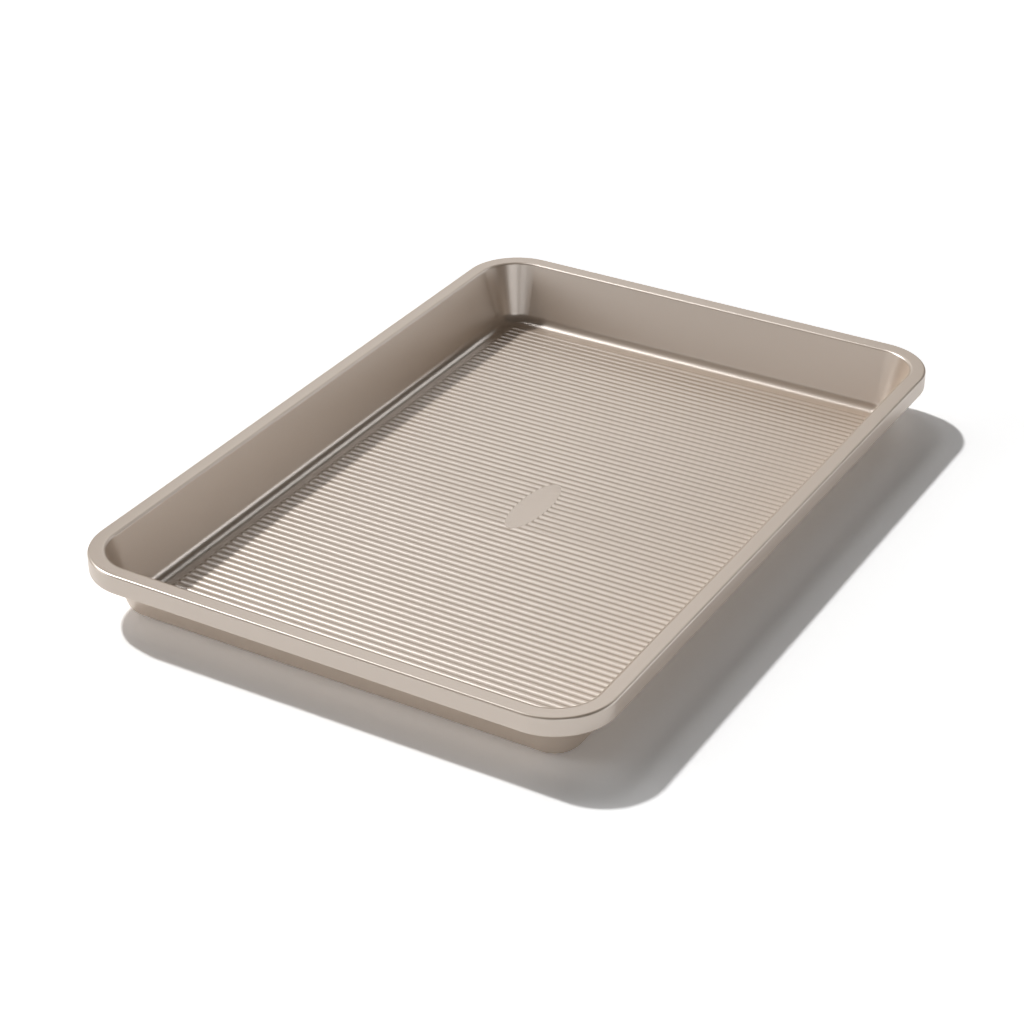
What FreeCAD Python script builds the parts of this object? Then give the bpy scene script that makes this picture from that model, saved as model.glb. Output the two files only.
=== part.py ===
import FreeCAD, Part
import math
import os

import Sketcher

# Jelly roll pan: one drawn and embossed sheet with a square-rolled rim, and the wire inside that rim.
# Millimetres and degrees. X runs along the pan, Y across it, Z up from the surface that it stands on.

os.makedirs("parts", exist_ok=True)

doc = FreeCAD.newDocument("jelly_roll_pan")
sizes = doc.addObject("Spreadsheet::Sheet", "sizes")
Point = FreeCAD.Vector

# The points of a sketch element that a constraint takes, and the sketch's own origin and axes.
START, END, CENTRE = 1, 2, 3
ORIGIN, LEVEL_AXIS, UPRIGHT_AXIS = -1, -1, -2

driving_sizes = {
    # The pan over its rim, and the sheet that it is pressed from.
    "pan_length": 415.5,
    "pan_width": 287.0,
    "pan_height": 34.5,
    "sheet_gauge": 0.8,
    # Flat of the floor, its bend into the wall, and the wall's lean from upright.
    "floor_corner_radius": 8.3,
    "floor_bend": 6.0,
    "wall_draft": 17.2,
    # Square-rolled rim: the bend is the radius inside each fold, the gap is above the turned-up hem.
    "rim_width": 8.8,
    "rim_depth": 10.5,
    "rim_bend": 0.4,
    "hem_gap": 2.5,
    # Wire that the rim is rolled round, and the gap where its two ends butt.
    "wire_diameter": 4.0,
    "wire_clearance": 0.1,
    "wire_butt_gap": 1.0,
    # Ribs embossed across the floor, and the plain oval land in the middle of them.
    "rib_pitch": 4.4,
    "rib_width": 3.8,
    "rib_height": 0.5,
    "rib_margin": 2.8,
    "land_length": 52.0,
    "land_width": 17.0,
    "land_rise": 0.15,
}
for row, (name, value) in enumerate(driving_sizes.items(), start=1):
    sizes.set(f"A{row}", name)
    sizes.set(f"B{row}", str(value))
    sizes.setAlias(f"B{row}", name)

doc.recompute()


def value_of(formula):
    return float(sizes.evalExpression(formula))


# Lengths that follow from the driving sizes, as formulas over the sheet.
wall_run = "(sizes.pan_height - sizes.sheet_gauge) * tan(sizes.wall_draft)"
bend_run = "sizes.floor_bend * tan(45 - sizes.wall_draft / 2)"
floor_inset = f"(sizes.rim_width + {wall_run} + {bend_run})"
floor_length = f"(sizes.pan_length - 2 * {floor_inset})"
floor_width = f"(sizes.pan_width - 2 * {floor_inset})"
fold_radius = "(sizes.rim_bend + sizes.sheet_gauge)"
roll_bottom = "(sizes.pan_height - sizes.rim_depth)"
return_width = "(sizes.wire_diameter + 2 * sizes.wire_clearance + 2 * sizes.sheet_gauge)"
hem_top = "(sizes.pan_height - sizes.sheet_gauge - sizes.hem_gap)"
wire_inset = "(sizes.sheet_gauge + sizes.wire_clearance + sizes.wire_diameter / 2)"
wire_place = f"(sizes.pan_length / 2 - {wire_inset})"
wire_height = f"({roll_bottom} + {wire_inset})"
wire_corner = f"(sizes.floor_corner_radius + {floor_inset} - {wire_inset})"
rib_count = f"floor(({floor_length} - 2 * sizes.rib_margin) / sizes.rib_pitch)"
first_rib = f"((1 - {rib_count}) * sizes.rib_pitch / 2)"
rib_straight = f"({floor_width} - 2 * sizes.rib_margin - sizes.rib_width)"
rib_radius = "((sizes.rib_width ^ 2 / 4 + sizes.rib_height ^ 2) / (2 * sizes.rib_height))"
rib_axis_height = f"(sizes.sheet_gauge + sizes.rib_height - {rib_radius})"
land_height = "(sizes.rib_height + sizes.land_rise)"


def new_body(name):
    body = doc.addObject("PartDesign::Body", name)
    body.Label = name
    return body


def origin_feature(body, role):
    return next(item for item in body.Origin.OriginFeatures if item.Role == role)


def new_sketch(body, name, plane, along="0", stand_off="0"):
    sketch = body.newObject("Sketcher::SketchObject", name)
    sketch.AttachmentSupport = [(origin_feature(body, plane), "")]
    sketch.MapMode = "FlatFace"
    sketch.setExpression("AttachmentOffset.Base.x", along)
    sketch.setExpression("AttachmentOffset.Base.z", stand_off)
    return sketch


def fix(sketch, *terms):
    return sketch.addConstraint(Sketcher.Constraint(*terms))


def measure(sketch, formula, *terms):
    index = fix(sketch, *terms, value_of(formula))
    sketch.setExpression(f"Constraints[{index}]", formula)


def line(sketch, start, end):
    return sketch.addGeometry(Part.LineSegment(Point(*start), Point(*end)))


def arc(sketch, centre, radius, first_angle, last_angle):
    circle = Part.Circle(Point(*centre), Point(0, 0, 1), radius)
    return sketch.addGeometry(Part.ArcOfCircle(circle, math.radians(first_angle), math.radians(last_angle)))


def on_circle(centre, radius, angle):
    turn = math.radians(angle)
    return (centre[0] + radius * math.cos(turn), centre[1] + radius * math.sin(turn))


# A rounded rectangle about the origin, drawn anticlockwise from the middle of its right side, where it
# closes or leaves a gap.
def rounded_rectangle(sketch, length, width, radius, gap=None):
    bend = value_of(radius)
    half_x = value_of(length) / 2
    half_y = value_of(width) / 2
    half_gap = value_of(gap) / 2 if gap else 0
    far_x = half_x - bend
    far_y = half_y - bend
    outline = [
        line(sketch, (half_x, half_gap), (half_x, far_y)),
        arc(sketch, (far_x, far_y), bend, 0, 90),
        line(sketch, (far_x, half_y), (-far_x, half_y)),
        arc(sketch, (-far_x, far_y), bend, 90, 180),
        line(sketch, (-half_x, far_y), (-half_x, -far_y)),
        arc(sketch, (-far_x, -far_y), bend, 180, 270),
        line(sketch, (-far_x, -half_y), (far_x, -half_y)),
        arc(sketch, (far_x, -far_y), bend, 270, 360),
        line(sketch, (half_x, -far_y), (half_x, -half_gap)),
    ]
    first_right, corner, back, _, left, _, front, _, last_right = outline
    for before, after in zip(outline[:-1], outline[1:]):
        fix(sketch, "Tangent", before, END, after, START)
    for upright in (first_right, left, last_right):
        fix(sketch, "Vertical", upright)
    for level in (back, front):
        fix(sketch, "Horizontal", level)
    for other_corner in outline[3:-1:2]:
        fix(sketch, "Equal", corner, other_corner)
    fix(sketch, "Symmetric", back, START, front, START, ORIGIN, START)
    measure(sketch, radius, "Radius", corner)
    measure(sketch, f"{length} / 2", "DistanceX", ORIGIN, START, first_right, START)
    measure(sketch, f"{width} / 2", "DistanceY", ORIGIN, START, back, START)
    if gap:
        measure(sketch, f"{gap} / 2", "DistanceY", ORIGIN, START, first_right, START)
        fix(sketch, "Symmetric", first_right, START, last_right, END, LEVEL_AXIS)
    else:
        fix(sketch, "PointOnObject", first_right, START, LEVEL_AXIS)
        fix(sketch, "Coincident", last_right, END, first_right, START)


# Section of the sheet from the flat of the floor out to the hem: floor bend, wall, flange, rim face,
# return and hem. Each fold is an arc on either side of the sheet, about one centre.
def sheet_section(sketch):
    gauge = value_of("sizes.sheet_gauge")
    draft = value_of("sizes.wall_draft")
    lean = math.radians(draft)
    floor_bend = value_of("sizes.floor_bend")
    fold = value_of(fold_radius)
    floor_edge = value_of(f"{floor_length} / 2")
    face = value_of("sizes.pan_length / 2")
    hem = face - value_of(return_width)
    top = value_of("sizes.pan_height")
    bottom = value_of(roll_bottom)
    hem_end = value_of(hem_top)

    floor_centre = (floor_edge, gauge + floor_bend)
    wall_foot = on_circle(floor_centre, floor_bend, -draft)
    wall_head_height = top - fold + fold * math.sin(lean)
    wall_head = (wall_foot[0] + (wall_head_height - wall_foot[1]) * math.tan(lean), wall_head_height)
    folds = [
        (floor_centre, -90, -draft),
        (on_circle(wall_head, fold, -draft), 90, 180 - draft),
        ((face - fold, top - fold), 0, 90),
        ((face - fold, bottom + fold), -90, 0),
        ((hem + fold, bottom + fold), 180, 270),
    ]

    def one_side(floor_radius, rim_radius, hem_place):
        radii = [floor_radius] + [rim_radius] * (len(folds) - 1)
        bends = [arc(sketch, centre, radius, first, last) for (centre, first, last), radius in zip(folds, radii)]
        # An arc runs anticlockwise, so the sheet goes along the floor bend and back along the others.
        leaving = [on_circle(floor_centre, floor_radius, -draft)]
        leaving += [on_circle(centre, rim_radius, first) for centre, first, _ in folds[1:]]
        arriving = [on_circle(centre, rim_radius, last) for centre, _, last in folds[1:]]
        arriving += [(hem_place, hem_end)]
        webs = [line(sketch, start, end) for start, end in zip(leaving, arriving)]
        fix(sketch, "Tangent", bends[0], END, webs[0], START)
        for bend, before, after in zip(bends[1:], webs[:-1], webs[1:]):
            fix(sketch, "Tangent", before, END, bend, END)
            fix(sketch, "Tangent", bend, START, after, START)
        for bend in bends[2:]:
            fix(sketch, "Equal", bends[1], bend)
        fix(sketch, "Vertical", webs[-1])
        return bends, webs

    upper_bends, upper_webs = one_side(floor_bend, fold, hem)
    lower_bends, lower_webs = one_side(floor_bend + gauge, fold - gauge, hem + gauge)
    for upper, lower in zip(upper_bends, lower_bends):
        fix(sketch, "Coincident", upper, CENTRE, lower, CENTRE)
    floor_end = line(sketch, (floor_edge, 0), (floor_edge, gauge))
    hem_edge = line(sketch, (hem, hem_end), (hem + gauge, hem_end))
    fix(sketch, "Coincident", floor_end, START, lower_bends[0], START)
    fix(sketch, "Coincident", floor_end, END, upper_bends[0], START)
    fix(sketch, "Coincident", hem_edge, START, upper_webs[-1], END)
    fix(sketch, "Coincident", hem_edge, END, lower_webs[-1], END)

    wall, flange, rim_face, rim_return, hem_web = upper_webs
    fix(sketch, "Vertical", floor_end)
    fix(sketch, "Vertical", upper_bends[0], CENTRE, upper_bends[0], START)
    fix(sketch, "Horizontal", flange)
    fix(sketch, "Vertical", rim_face)
    fix(sketch, "Horizontal", rim_return)
    fix(sketch, "Horizontal", hem_edge)
    wall_angle = fix(sketch, "Angle", wall, math.radians(90) - lean)
    sketch.setExpression(f"Constraints[{wall_angle}]", "90 - sizes.wall_draft")
    measure(sketch, "sizes.floor_bend", "Radius", upper_bends[0])
    measure(sketch, "sizes.floor_bend + sizes.sheet_gauge", "Radius", lower_bends[0])
    measure(sketch, fold_radius, "Radius", upper_bends[1])
    measure(sketch, "sizes.rim_bend", "Radius", lower_bends[1])
    measure(sketch, f"{floor_length} / 2", "DistanceX", ORIGIN, START, floor_end, START)
    measure(sketch, "sizes.sheet_gauge", "DistanceY", ORIGIN, START, floor_end, END)
    measure(sketch, "sizes.pan_height", "DistanceY", ORIGIN, START, flange, START)
    measure(sketch, "sizes.pan_length / 2", "DistanceX", ORIGIN, START, rim_face, START)
    measure(sketch, roll_bottom, "DistanceY", ORIGIN, START, rim_return, START)
    measure(sketch, return_width, "DistanceX", hem_web, START, rim_face, START)
    measure(sketch, hem_top, "DistanceY", ORIGIN, START, hem_edge, START)


# Cap of a circle about the sketch's upright axis, above a level base: the whole of it, or its right half.
def circle_cap(sketch, radius, base_height, whole):
    rim = value_of(radius)
    base = value_of(base_height)
    centre = (0, value_of(rib_axis_height))
    first_angle = math.degrees(math.asin((base - centre[1]) / rim))
    last_angle = 180 - first_angle if whole else 90
    crown = arc(sketch, centre, rim, first_angle, last_angle)
    right_end = on_circle(centre, rim, first_angle)
    left_end = on_circle(centre, rim, last_angle)
    if whole:
        base_line = line(sketch, left_end, right_end)
        fix(sketch, "Coincident", base_line, START, crown, END)
    else:
        base_line = line(sketch, (0, base), right_end)
        upright = line(sketch, left_end, (0, base))
        fix(sketch, "Coincident", upright, START, crown, END)
        fix(sketch, "Coincident", upright, END, base_line, START)
        fix(sketch, "Vertical", upright)
    fix(sketch, "Coincident", base_line, END, crown, START)
    fix(sketch, "Horizontal", base_line)
    fix(sketch, "PointOnObject", crown, CENTRE, UPRIGHT_AXIS)
    measure(sketch, radius, "Radius", crown)
    measure(sketch, rib_axis_height, "DistanceY", ORIGIN, START, crown, CENTRE)
    measure(sketch, base_height, "DistanceY", ORIGIN, START, base_line, END)
    if not whole:
        fix(sketch, "PointOnObject", upright, END, UPRIGHT_AXIS)


# One round-ended rib, added to the sheet or hollowed out of it, repeated along the floor.
def rib_row(body, name, straight_kind, end_kind, radius, base_height):
    section = new_sketch(body, f"{name}_section", "XZ_Plane", first_rib)
    circle_cap(section, radius, base_height, whole=True)
    straight = body.newObject(straight_kind, f"{name}_straight")
    straight.Profile = section
    straight.SideType = "Symmetric"
    straight.setExpression("Length", rib_straight)
    pieces = [straight]
    for end_name, direction in (("front", 1), ("back", -1)):
        half = new_sketch(body, f"{name}_{end_name}_section", "XZ_Plane", first_rib,
                          f"{direction} * {rib_straight} / 2")
        circle_cap(half, radius, base_height, whole=False)
        end = body.newObject(end_kind, f"{name}_{end_name}_end")
        end.Profile = half
        end.ReferenceAxis = (half, ["V_Axis"])
        end.Angle = 180
        end.Reversed = direction > 0
        pieces.append(end)
    row = body.newObject("PartDesign::LinearPattern", f"{name}_row")
    row.Originals = pieces
    row.Direction = (origin_feature(body, "X_Axis"), [""])
    row.setExpression("Length", f"({rib_count} - 1) * sizes.rib_pitch")
    row.setExpression("Occurrences", rib_count)
    body.Tip = row


def oval(sketch, length, width):
    half_length = value_of(length) / 2
    half_width = value_of(width) / 2
    ellipse = Part.Ellipse(Point(half_length, 0), Point(0, half_width), Point(0, 0))
    outline = sketch.addGeometry(ellipse)
    sketch.exposeInternalGeometry(outline)
    long_axis = outline + 1
    short_axis = outline + 2
    fix(sketch, "Coincident", outline, CENTRE, ORIGIN, START)
    fix(sketch, "Horizontal", long_axis)
    measure(sketch, length, "Distance", long_axis)
    measure(sketch, width, "Distance", short_axis)


# Pan: the floor plate, the drawn walls and rim round it, the land, the ribs and the hollows under them.
pan = new_body("pan_body")

floor_outline = new_sketch(pan, "floor_outline", "XY_Plane")
rounded_rectangle(floor_outline, floor_length, floor_width, "sizes.floor_corner_radius")
floor_plate = pan.newObject("PartDesign::Pad", "floor_plate")
floor_plate.Profile = floor_outline
floor_plate.setExpression("Length", "sizes.sheet_gauge")

rim_section = new_sketch(pan, "rim_section", "XZ_Plane")
sheet_section(rim_section)
wall_and_rim = pan.newObject("PartDesign::AdditivePipe", "wall_and_rim")
wall_and_rim.Profile = rim_section
wall_and_rim.Spine = (floor_outline, [""])

land_outline = new_sketch(pan, "land_outline", "XY_Plane", stand_off="sizes.sheet_gauge")
oval(land_outline, "sizes.land_length", "sizes.land_width")
land = pan.newObject("PartDesign::Pad", "land")
land.Profile = land_outline
land.setExpression("Length", land_height)

land_hollow_outline = new_sketch(pan, "land_hollow_outline", "XY_Plane")
oval(land_hollow_outline, "(sizes.land_length - 2 * sizes.sheet_gauge)",
     "(sizes.land_width - 2 * sizes.sheet_gauge)")
land_hollow = pan.newObject("PartDesign::Pocket", "land_hollow")
land_hollow.Profile = land_hollow_outline
land_hollow.Reversed = True
land_hollow.setExpression("Length", land_height)

rib_row(pan, "rib", "PartDesign::Pad", "PartDesign::Revolution", rib_radius, "sizes.sheet_gauge")
rib_row(pan, "rib_hollow", "PartDesign::Pocket", "PartDesign::Groove",
        f"({rib_radius} - sizes.sheet_gauge)", "0")

# Wire: round stock bent to the rim, lying in the roll, with its ends butted in the middle of one short side.
wire = new_body("rim_wire")

wire_path = new_sketch(wire, "wire_path", "XY_Plane")
rounded_rectangle(wire_path, f"(sizes.pan_length - 2 * {wire_inset})",
                  f"(sizes.pan_width - 2 * {wire_inset})", wire_corner, "sizes.wire_butt_gap")
wire_section = new_sketch(wire, "wire_section", "XZ_Plane", stand_off="-sizes.wire_butt_gap / 2")
wire_circle = Part.Circle(Point(value_of(wire_place), value_of(wire_height)), Point(0, 0, 1),
                          value_of("sizes.wire_diameter / 2"))
wire_round = wire_section.addGeometry(wire_circle)
measure(wire_section, "sizes.wire_diameter", "Diameter", wire_round)
measure(wire_section, wire_place, "DistanceX", ORIGIN, START, wire_round, CENTRE)
measure(wire_section, wire_height, "DistanceY", ORIGIN, START, wire_round, CENTRE)
bent_wire = wire.newObject("PartDesign::AdditivePipe", "bent_wire")
bent_wire.Profile = wire_section
bent_wire.Spine = (wire_path, [""])

doc.recompute()

faults = [item.Name for item in doc.Objects if {"Invalid", "Error"} & set(item.State)]
faults += [body.Label for body in (pan, wire) if body.Shape.isNull() or not body.Shape.isValid()]
if faults:
    raise SystemExit("not built: " + ", ".join(faults))

for body in (pan, wire):
    body.Shape.exportStep(f"parts/{body.Label}.step")
    print(body.Label, len(body.Shape.Solids), "solid,", round(body.Shape.Volume), "cubic mm")
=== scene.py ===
import math

import bmesh
import bpy
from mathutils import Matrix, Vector


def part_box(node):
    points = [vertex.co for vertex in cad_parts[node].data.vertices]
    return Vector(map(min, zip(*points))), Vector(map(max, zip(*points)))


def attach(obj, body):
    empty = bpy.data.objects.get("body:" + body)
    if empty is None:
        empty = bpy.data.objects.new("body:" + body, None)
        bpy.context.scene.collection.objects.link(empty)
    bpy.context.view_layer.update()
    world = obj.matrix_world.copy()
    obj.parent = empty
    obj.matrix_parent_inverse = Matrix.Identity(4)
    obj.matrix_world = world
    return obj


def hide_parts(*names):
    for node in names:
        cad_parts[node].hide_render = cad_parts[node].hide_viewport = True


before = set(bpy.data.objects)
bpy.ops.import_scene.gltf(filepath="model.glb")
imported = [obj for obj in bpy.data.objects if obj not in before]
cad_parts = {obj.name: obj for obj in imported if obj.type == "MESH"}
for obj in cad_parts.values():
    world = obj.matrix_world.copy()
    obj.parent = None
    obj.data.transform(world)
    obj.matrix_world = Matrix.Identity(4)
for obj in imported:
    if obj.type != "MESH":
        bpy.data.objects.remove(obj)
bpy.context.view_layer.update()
mm = 0.001
quarterTurn = math.radians(90)
print("frame loaded:", ", ".join(sorted(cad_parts)))


# small tools for working in edit mode

tolerance = {
    "place": 0.002 * mm,  # places this close count as one when points are picked
    "copies": 0.01 * mm,  # joins each rib to the next, and the mirrored quarters
    "tips": 0.005 * mm,  # joins the points that meet at the ends of the ribs
}


def backToObjects():
    if bpy.context.mode != "OBJECT":
        bpy.ops.object.mode_set(mode="OBJECT")
    bpy.ops.object.select_all(action="DESELECT")


def selectPiece(piece):  # this piece alone, in object mode
    backToObjects()
    piece.select_set(True)
    bpy.context.view_layer.objects.active = piece


def editPiece(piece, selectMode):  # edit mode on this piece alone, nothing selected
    selectPiece(piece)
    bpy.ops.object.mode_set(mode="EDIT")
    bpy.ops.mesh.select_mode(type=selectMode)
    bpy.ops.mesh.select_all(action="DESELECT")


def pick(piece, kind, wanted):  # selects the verts, edges or faces that pass the test, and only those
    bpy.ops.mesh.select_all(action="DESELECT")
    mesh = bmesh.from_edit_mesh(piece.data)
    for part in getattr(mesh, kind):
        if wanted(part):
            part.select_set(True)
    mesh.select_flush_mode()
    bmesh.update_edit_mesh(piece.data)


def near(a, b):
    return abs(a - b) < tolerance["place"]


def bothEnds(edge, test):
    return all(test(vert.co) for vert in edge.verts)


def extrudeBy(step):
    bpy.ops.mesh.extrude_region_move(TRANSFORM_OT_translate={"value": step})


def startLine(name, place):  # one loose point to draw a section from
    backToObjects()
    bpy.ops.mesh.primitive_plane_add(size=mm, location=place)
    piece = bpy.context.object
    piece.name = piece.data.name = name
    bpy.ops.object.transform_apply(location=True)
    editPiece(piece, "VERT")
    bpy.ops.mesh.select_all(action="SELECT")
    bpy.ops.mesh.merge(type="CENTER")
    return piece


def drawLine(points):  # draws on from the selected loose point
    for before, after in zip(points, points[1:]):
        extrudeBy(Vector(after) - Vector(before))


def arcPoints(centre, radius, firstAngle, lastAngle, steps):
    turns = [firstAngle + (lastAngle - firstAngle) * step / steps for step in range(steps + 1)]
    return [(centre[0] + radius * math.cos(turn), centre[1] + radius * math.sin(turn)) for turn in turns]


def addModifier(piece, kind, **settings):
    selectPiece(piece)
    modifier = piece.modifiers.new(kind.lower(), kind)
    for key, value in settings.items():
        setattr(modifier, key, value)
    bpy.ops.object.modifier_apply(modifier=modifier.name)


# pan shell: one pressed sheet, a quarter of it modelled and mirrored

pan = {
    "gauge": 0.8 * mm,
    "floorCorner": 7.56 * mm,  # corner of the flat floor in plan
    "floorBend": 7.0 * mm,  # inside radius where the floor turns up into the walls
    "draft": math.radians(17.2),  # lean of the walls from upright
    "rimWidth": 8.8 * mm,  # from the rim's face in to where wall and flange would meet
    "rimDepth": 10.5 * mm,
    "shoulder": 3.4 * mm,  # outside radius of the fold from flange to wall, on the flange's side
    "shoulderTurn": math.radians(30),  # how far the shoulder turns before the tighter fold
    "innerFold": 0.9 * mm,  # outside radius of the same fold on the wall's side
    "fold": 1.2 * mm,  # outside radius of the other folds of the rim
    "returnWidth": 5.8 * mm,  # from the rim's face in to the upturned hem
    "hemGap": 2.5 * mm,  # between the hem's edge and the flange
    "cornerSteps": 28,
    "bendSteps": 12,
    "foldSteps": 7,
    "smoothBelow": math.radians(40),  # sharper edges stay sharp
}
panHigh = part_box("pan_body")[1]
halfLength = panHigh.x
halfWidth = panHigh.y
panTop = panHigh.z
wallRun = (panTop - pan["gauge"]) * math.tan(pan["draft"])
bendRun = pan["floorBend"] * math.tan((quarterTurn - pan["draft"]) / 2)
floorInset = pan["rimWidth"] + wallRun + bendRun
floorHalfLength = halfLength - floorInset
floorHalfWidth = halfWidth - floorInset
cornerX = floorHalfLength - pan["floorCorner"]  # the corner turns about this place
cornerY = floorHalfWidth - pan["floorCorner"]


def sheetSection():  # cooking side of the sheet, from the flat of the floor out to the hem
    bend, fold, draft, steps = pan["floorBend"], pan["fold"], pan["draft"], pan["foldSteps"]
    halfTurn = 2 * quarterTurn
    rimBottom = panTop - pan["rimDepth"]
    hem = halfLength - pan["returnWidth"]
    section = arcPoints((floorHalfLength, pan["gauge"] + bend), bend, -quarterTurn, -draft,
                        pan["bendSteps"])

    # the wall runs up from its foot to the tighter fold, and that one goes over into the shoulder
    foot = section[-1]
    shoulder, innerFold, turn = pan["shoulder"], pan["innerFold"], pan["shoulderTurn"]
    apart = shoulder - innerFold
    foldHeight = panTop - shoulder + apart * math.cos(turn)
    foldAcross = foot[0] + ((foldHeight - foot[1]) * math.sin(draft) + innerFold) / math.cos(draft)
    shoulderCentre = (foldAcross + apart * math.sin(turn), panTop - shoulder)
    section += arcPoints((foldAcross, foldHeight), innerFold, halfTurn - draft, quarterTurn + turn, steps)
    section += arcPoints(shoulderCentre, shoulder, quarterTurn + turn, quarterTurn, steps)[1:]

    # the rolled rim: down its face, in underneath and up to the hem
    section += arcPoints((halfLength - fold, panTop - fold), fold, quarterTurn, 0, steps)
    section += arcPoints((halfLength - fold, rimBottom + fold), fold, 0, -quarterTurn, steps)
    section += arcPoints((hem + fold, rimBottom + fold), fold, -quarterTurn, -halfTurn, steps)
    section.append((hem, panTop - pan["gauge"] - pan["hemGap"]))
    return [(across, cornerY, up) for across, up in section]


def makeWalls():
    section = sheetSection()
    walls = startLine("pan_shell", section[0])
    drawLine(section)
    bpy.ops.mesh.select_all(action="SELECT")
    bpy.ops.mesh.spin(steps=pan["cornerSteps"], angle=quarterTurn, center=(cornerX, cornerY, 0),
                      axis=(0, 0, -1))
    bpy.ops.mesh.select_mode(type="EDGE")
    pick(walls, "edges", lambda edge: bothEnds(edge, lambda place: near(place.y, cornerY)))
    extrudeBy((0, -cornerY, 0))
    pick(walls, "edges", lambda edge: bothEnds(edge, lambda place: near(place.x, cornerX)))
    extrudeBy((-cornerX, 0, 0))
    return walls


ribs = {
    "pitch": 4.4 * mm,
    "height": 0.39 * mm,  # valley to crest, once the coating has rounded the valleys
    "root": 3.2 * mm,  # radius in the valleys, about that of the crests
    "endRadius": 1.9 * mm,
    "margin": 2.06 * mm,  # plain floor left round the ribs
    "crestSteps": 10,
    "rootSteps": 3,
    "endSteps": 5,
}
ribsInQuarter = int((floorHalfLength - ribs["margin"]) / ribs["pitch"])
ribEnd = floorHalfWidth - ribs["margin"]
ribFieldEnd = ribsInQuarter * ribs["pitch"]


def ribSection():  # valley to valley: two round valleys and a wide round crest, tangent to each other
    floor, root, rootSteps = pan["gauge"], ribs["root"], ribs["rootSteps"]
    crest = ribs["pitch"] / 2
    slope = 2 * math.atan(ribs["height"] / crest)
    crestRadius = crest / math.sin(slope) - root
    crestCentre = (crest, floor + ribs["height"] - crestRadius)
    section = arcPoints((0, floor + root), root, -quarterTurn, slope - quarterTurn, rootSteps)
    section += arcPoints(crestCentre, crestRadius, quarterTurn + slope, quarterTurn - slope,
                         ribs["crestSteps"])[1:]
    section += arcPoints((ribs["pitch"], floor + root), root, -quarterTurn - slope, -quarterTurn,
                         rootSteps)[1:]
    return [(along, 0, up) for along, up in section]


def makeRibs():
    section = ribSection()
    rib = startLine("rib_field", section[0])
    drawLine(section)
    bpy.ops.mesh.select_mode(type="EDGE")
    bpy.ops.mesh.select_all(action="SELECT")
    reach = ribEnd - ribs["endRadius"]
    extrudeBy((0, reach, 0))
    share = 1
    for step in range(1, ribs["endSteps"] + 1):  # the round end, narrower and lower row by row
        turn = quarterTurn * step / ribs["endSteps"]
        row = ribEnd - ribs["endRadius"] * (1 - math.sin(turn))
        nextShare = math.cos(turn) if step < ribs["endSteps"] else 0
        extrudeBy((0, row - reach, 0))
        reach = row
        pick(rib, "verts", lambda vert: near(vert.co.y, row) and not near(vert.co.x, 0)
             and not near(vert.co.x, ribs["pitch"]))
        shrink = nextShare / share
        bpy.ops.transform.resize(value=(shrink, 1, shrink ** 2),
                                 center_override=(ribs["pitch"] / 2, row, pan["gauge"]))
        share = nextShare
        pick(rib, "edges", lambda edge: bothEnds(edge, lambda place: near(place.y, row)))
    addModifier(rib, "ARRAY", count=ribsInQuarter, use_relative_offset=False, use_constant_offset=True,
                constant_offset_displace=(ribs["pitch"], 0, 0), use_merge_vertices=True,
                merge_threshold=tolerance["copies"])
    return rib


def joinFloor(walls, rib):  # fills the plain margin between the ribs and the floor bend
    selectPiece(walls)
    rib.select_set(True)
    bpy.ops.object.join()
    editPiece(walls, "VERT")
    bpy.ops.mesh.select_all(action="SELECT")
    bpy.ops.mesh.remove_doubles(threshold=tolerance["tips"])
    onFloor = pan["gauge"]
    for first, last in (((0, ribEnd), (0, floorHalfWidth)), ((ribFieldEnd, 0), (floorHalfLength, 0))):
        bpy.ops.mesh.select_mode(type="VERT")
        pick(walls, "verts", lambda vert: near(vert.co.z, onFloor) and any(
            near(vert.co.x, place[0]) and near(vert.co.y, place[1]) for place in (first, last)))
        bpy.ops.mesh.edge_face_add()
    bpy.ops.mesh.select_mode(type="EDGE")

    def bordersMargin(edge):
        flat = bothEnds(edge, lambda place: near(place.z, onFloor))
        onMirror = any(bothEnds(edge, lambda place: near(place[axis], 0)) for axis in (0, 1))
        return flat and (not edge.link_faces or (len(edge.link_faces) == 1 and not onMirror))

    pick(walls, "edges", bordersMargin)
    bpy.ops.mesh.fill(use_beauty=True)


land = {
    "length": 52 * mm,
    "width": 17 * mm,
    "rise": 0.2 * mm,  # above the floor, half way up the ribs
    "edge": 0.05 * mm,  # the ribs stop this much short of it
    "segments": 128,
}


def makeOval(name, length, width, bottom, top):  # a round of unit size, drawn out to its sizes
    backToObjects()
    bpy.ops.mesh.primitive_cylinder_add(vertices=land["segments"], radius=0.5, depth=1)
    oval = bpy.context.object
    oval.name = oval.data.name = name
    editPiece(oval, "VERT")
    bpy.ops.mesh.select_all(action="SELECT")
    bpy.ops.transform.resize(value=(length, width, top - bottom), center_override=(0, 0, 0))
    bpy.ops.transform.translate(value=(0, 0, (top + bottom) / 2))
    return oval


def pressLand(shell):  # plain oval in the middle of the floor, flat on top and hollow underneath
    length, width, gauge = land["length"], land["width"], pan["gauge"]
    height = gauge + land["rise"]
    clear = 2 * land["edge"]
    wall = 2 * gauge
    boss = makeOval("land_boss", length, width, land["rise"] / 2, height + gauge)
    crests = makeOval("land_crests", length + clear, width + clear, height, height + 2 * gauge)
    hollow = makeOval("land_hollow", length - wall, width - wall, -gauge, height - gauge)
    for tool, operation in ((boss, "UNION"), (crests, "DIFFERENCE"), (hollow, "DIFFERENCE")):
        addModifier(shell, "BOOLEAN", object=tool, operation=operation, solver="EXACT")
        bpy.data.objects.remove(tool)


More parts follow.
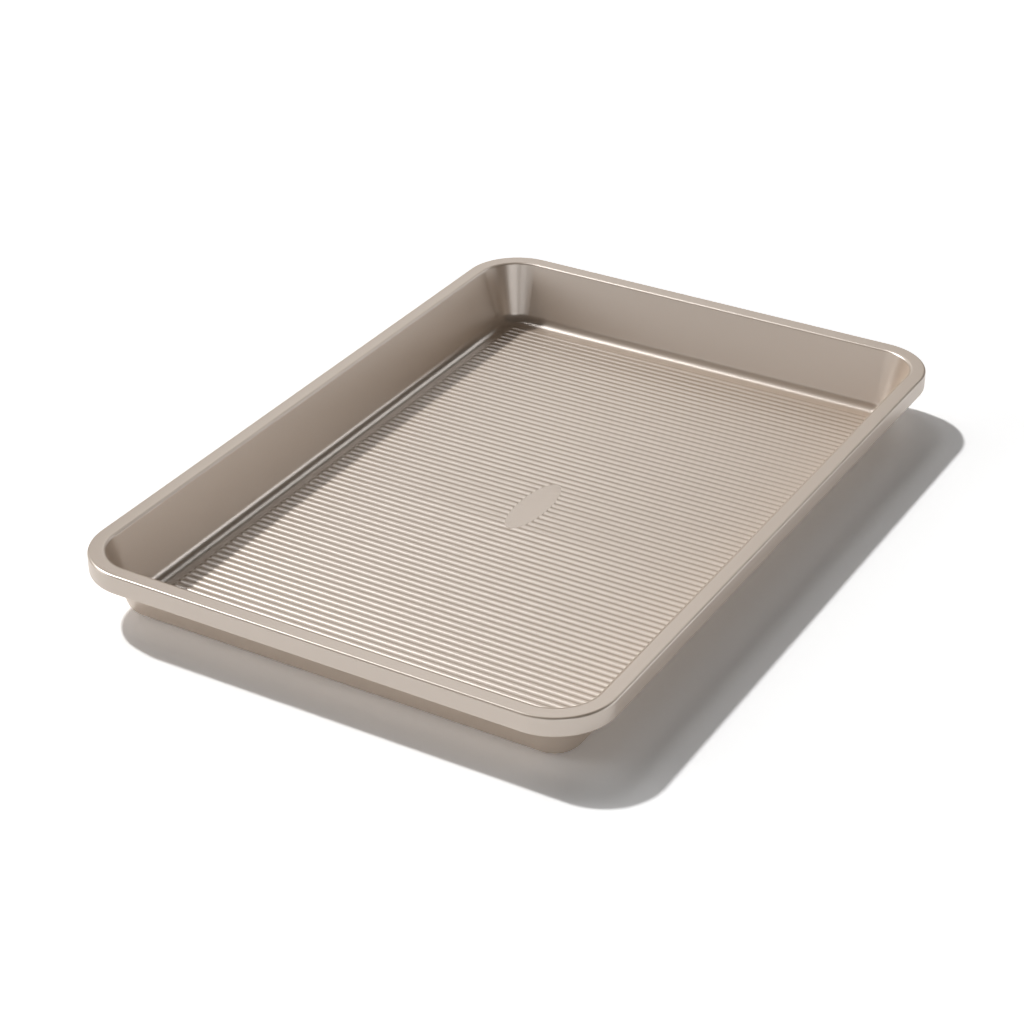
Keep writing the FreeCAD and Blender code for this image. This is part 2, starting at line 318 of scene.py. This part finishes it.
def turnFacesUp(shell):  # the sheet gets its thickness on the side away from the food
    editPiece(shell, "FACE")
    bpy.ops.mesh.select_all(action="SELECT")
    bpy.ops.mesh.normals_make_consistent(inside=False)
    backToObjects()
    flangeFace = max(shell.data.polygons, key=lambda face: face.center.z)
    if flangeFace.normal.z < 0:
        editPiece(shell, "FACE")
        bpy.ops.mesh.select_all(action="SELECT")
        bpy.ops.mesh.flip_normals()


def makePan():
    shell = makeWalls()
    print("walls and rolled rim drawn round one corner")
    joinFloor(shell, makeRibs())
    print("ribbed floor joined:", ribsInQuarter, "ribs in the quarter")
    addModifier(shell, "MIRROR", use_axis=(True, True, False), use_mirror_merge=True,
                merge_threshold=tolerance["copies"])
    turnFacesUp(shell)
    addModifier(shell, "SOLIDIFY", thickness=pan["gauge"], offset=-1, use_even_offset=True, use_rim=True)
    pressLand(shell)
    selectPiece(shell)
    bpy.ops.object.shade_smooth_by_angle(angle=pan["smoothBelow"])
    addModifier(shell, "WEIGHTED_NORMAL", keep_sharp=True)
    print("pan shell:", len(shell.data.polygons), "faces")
    return shell


# materials

def linear(hexColour):  # sRGB hex to the linear colour that sockets take
    parts = [int(hexColour[place:place + 2], 16) / 255 for place in (1, 3, 5)]
    return [part / 12.92 if part <= 0.04045 else ((part + 0.055) / 1.055) ** 2.4 for part in parts] + [1]


def addNode(tree, kind, inputs=None, **settings):  # an input is a value, or an output to link from
    node = tree.nodes.new(kind)
    for key, value in settings.items():
        setattr(node, key, value)
    for socket, value in (inputs or {}).items():
        if isinstance(value, bpy.types.NodeSocket):
            tree.links.new(value, node.inputs[socket])
        else:
            node.inputs[socket].default_value = value
    return node


colourMix = {"factor": 0, "first": 6, "second": 7, "result": 2}  # places of a Mix node's colour sockets


def startMaterial(name):
    material = bpy.data.materials.new(name)
    material.use_nodes = True
    material.node_tree.nodes.clear()
    return material, material.node_tree


coating = {
    "binder": "#d7c2ae",
    "binderRoughness": 0.5,
    "flake": "#d1cbc5",
    "flakeRoughness": 0.28,
    "flakeShare": (0.42, 0.54),  # least and most of the surface that is flake
    "grain": 0.9 * mm,  # the real grain is too fine to show, so it is drawn coarser
    "grainDetail": 2,
    "grainRange": (0.3, 0.7),  # nearly all of the noise lies between these
}


def releaseCoating():
    # sprayed release coating on steel: aluminium flakes in a warm binder,
    # which the eye sees as a satin beige with soft reflections
    material, tree = startMaterial("sprayed_metallic_release_coating")
    place = addNode(tree, "ShaderNodeTexCoord").outputs["Object"]
    grain = addNode(tree, "ShaderNodeTexNoise", {
        "Vector": place, "Scale": 1 / coating["grain"], "Detail": coating["grainDetail"]})
    low, high = coating["grainRange"]
    fewest, most = coating["flakeShare"]
    share = addNode(tree, "ShaderNodeMapRange", {
        "Value": grain.outputs["Fac"], "From Min": low, "From Max": high, "To Min": fewest, "To Max": most})
    binder = addNode(tree, "ShaderNodeBsdfPrincipled", {
        "Base Color": linear(coating["binder"]), "Roughness": coating["binderRoughness"]})
    flake = addNode(tree, "ShaderNodeBsdfPrincipled", {
        "Base Color": linear(coating["flake"]), "Metallic": 1, "Roughness": coating["flakeRoughness"]})
    shader = addNode(tree, "ShaderNodeMixShader", {
        0: share.outputs["Result"], 1: binder.outputs["BSDF"], 2: flake.outputs["BSDF"]})
    addNode(tree, "ShaderNodeOutputMaterial", {"Surface": shader.outputs["Shader"]})
    return material


wire = {
    "dark": "#8f9092",
    "bright": "#b4b5b6",
    "roughness": (0.25, 0.42),
    "marks": 1.5 * mm,  # real draw marks are too fine to show, so they are drawn coarser
    "markDetail": 3,
}


def brightWire():
    # drawn bright steel wire: a cool mid grey with faint draw marks
    material, tree = startMaterial("drawn_steel_wire")
    place = addNode(tree, "ShaderNodeTexCoord").outputs["Object"]
    marks = addNode(tree, "ShaderNodeTexNoise", {
        "Vector": place, "Scale": 1 / wire["marks"], "Detail": wire["markDetail"]})
    smoothest, roughest = wire["roughness"]
    roughness = addNode(tree, "ShaderNodeMapRange", {
        "Value": marks.outputs["Fac"], "To Min": smoothest, "To Max": roughest})
    colour = addNode(tree, "ShaderNodeMix", {
        colourMix["factor"]: marks.outputs["Fac"], colourMix["first"]: linear(wire["dark"]),
        colourMix["second"]: linear(wire["bright"])}, data_type="RGBA")
    shader = addNode(tree, "ShaderNodeBsdfPrincipled", {
        "Base Color": colour.outputs[colourMix["result"]], "Metallic": 1,
        "Roughness": roughness.outputs["Result"]})
    addNode(tree, "ShaderNodeOutputMaterial", {"Surface": shader.outputs["BSDF"]})
    return material


def dress(piece, material):
    piece.data.materials.clear()
    piece.data.materials.append(material)


# stage: floor, light and camera

studio = {
    "floorSize": 400,  # its edge stays out of low views
    "floorDrop": 0.1 * mm,  # keeps the floor just clear of the pan's underside
    "floorColour": "#e6e6e6",
    "floorSeen": 1.3,  # as the camera and the metal see it: white where it is lit, and the shadow stays
    "skyColour": "#ffffff",
    "skyStrength": 0.01,
    "lamps": (  # name, azimuth from +X towards +Y, elevation, spread (all in degrees), strength
        ("key", 78.05, 49.65, 3, 2.12),
        ("back_high", 62, 61, 14, 0.22),
        ("back_middle", 36, 42, 24, 0.09),
        ("back_low", 28, 27, 24, 0.1),
        ("back_right", -7, 41, 18, 0.17),
        ("left_high", 88, 42, 20, 0.2),
        ("left_low", 117, 18, 28, 0.68),
        ("front_left_low", 144, 8, 24, 0.14),
        ("front_low", 168, 8, 24, 0.12),
        ("camera_low", 192, 8, 24, 0.19),
        ("front_right_low", 224, 11, 32, 0.4),
        ("right_low", 290, 8, 24, 0.12),
        ("right_back_low", 312, 8, 24, 0.36),
    ),
}


def whiteFloor():
    # matt white board: a plain pale ground that keeps the pan's shadow
    material, tree = startMaterial("matt_white_floor")
    path = addNode(tree, "ShaderNodeLightPath")
    seen = path.outputs["Is Camera Ray"]
    for ray in ("Is Glossy Ray", "Is Transmission Ray"):
        either = addNode(tree, "ShaderNodeMath", {0: seen, 1: path.outputs[ray]}, operation="MAXIMUM")
        seen = either.outputs[0]
    colour = addNode(tree, "ShaderNodeMix", {
        colourMix["factor"]: seen, colourMix["first"]: linear(studio["floorColour"]),
        colourMix["second"]: [studio["floorSeen"]] * 3 + [1]}, data_type="RGBA")
    shader = addNode(tree, "ShaderNodeBsdfDiffuse", {"Color": colour.outputs[colourMix["result"]]})
    addNode(tree, "ShaderNodeOutputMaterial", {"Surface": shader.outputs["BSDF"]})
    return material


def makeFloor():
    backToObjects()
    bpy.ops.mesh.primitive_plane_add(size=studio["floorSize"], location=(0, 0, -studio["floorDrop"]))
    floor = bpy.context.object
    floor.name = floor.data.name = "studio_floor"
    dress(floor, whiteFloor())


def makeLight():
    for name, azimuth, elevation, spread, strength in studio["lamps"]:
        backToObjects()
        bpy.ops.object.light_add(type="SUN")
        lamp = bpy.context.object
        lamp.name = lamp.data.name = name
        around, up = math.radians(azimuth), math.radians(elevation)
        level = math.cos(up)
        towards = Vector((math.cos(around) * level, math.sin(around) * level, math.sin(up)))
        lamp.rotation_euler = towards.to_track_quat("Z", "Y").to_euler()
        lamp.data.energy = strength
        lamp.data.angle = math.radians(spread)
    world = bpy.data.worlds.new("soft_studio")
    world.use_nodes = True
    bpy.context.scene.world = world
    tree = world.node_tree
    tree.nodes.clear()
    sky = addNode(tree, "ShaderNodeBackground", {
        "Color": linear(studio["skyColour"]), "Strength": studio["skyStrength"]})
    addNode(tree, "ShaderNodeOutputWorld", {"Surface": sky.outputs["Background"]})


view = {  # fitted to the edges of the rim and the floor in the photo
    "azimuth": math.radians(-59.7918),
    "elevation": math.radians(30.4916),
    "distance": 1287.31 * mm,
    "target": (-9.787 * mm, 6.966 * mm, 0),
    "lens": 86.4425,
    "sensor": 36,
    "shift": (-0.0005, 0.0005),  # half a pixel of the photo
    "nearest": 10 * mm,  # nothing closer to the camera is drawn
}


def makeCamera():
    around, up = view["azimuth"], view["elevation"]
    level = math.cos(up)
    back = Vector((math.sin(around) * level, -math.cos(around) * level, math.sin(up)))
    backToObjects()
    bpy.ops.object.camera_add(location=Vector(view["target"]) + view["distance"] * back)
    camera = bpy.context.object
    camera.rotation_euler = back.to_track_quat("Z", "Y").to_euler()
    camera.data.lens = view["lens"]
    camera.data.sensor_width = view["sensor"]
    camera.data.shift_x, camera.data.shift_y = view["shift"]
    camera.data.clip_start = view["nearest"]
    bpy.context.scene.camera = camera


makeCamera()
makeLight()
makeFloor()
print("stage set")

panShell = makePan()
dress(panShell, releaseCoating())
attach(panShell, "root")
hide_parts("pan_body")
dress(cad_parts["rim_wire"], brightWire())
print("pan dressed")

bpy.context.scene.view_settings.view_transform = "Standard"
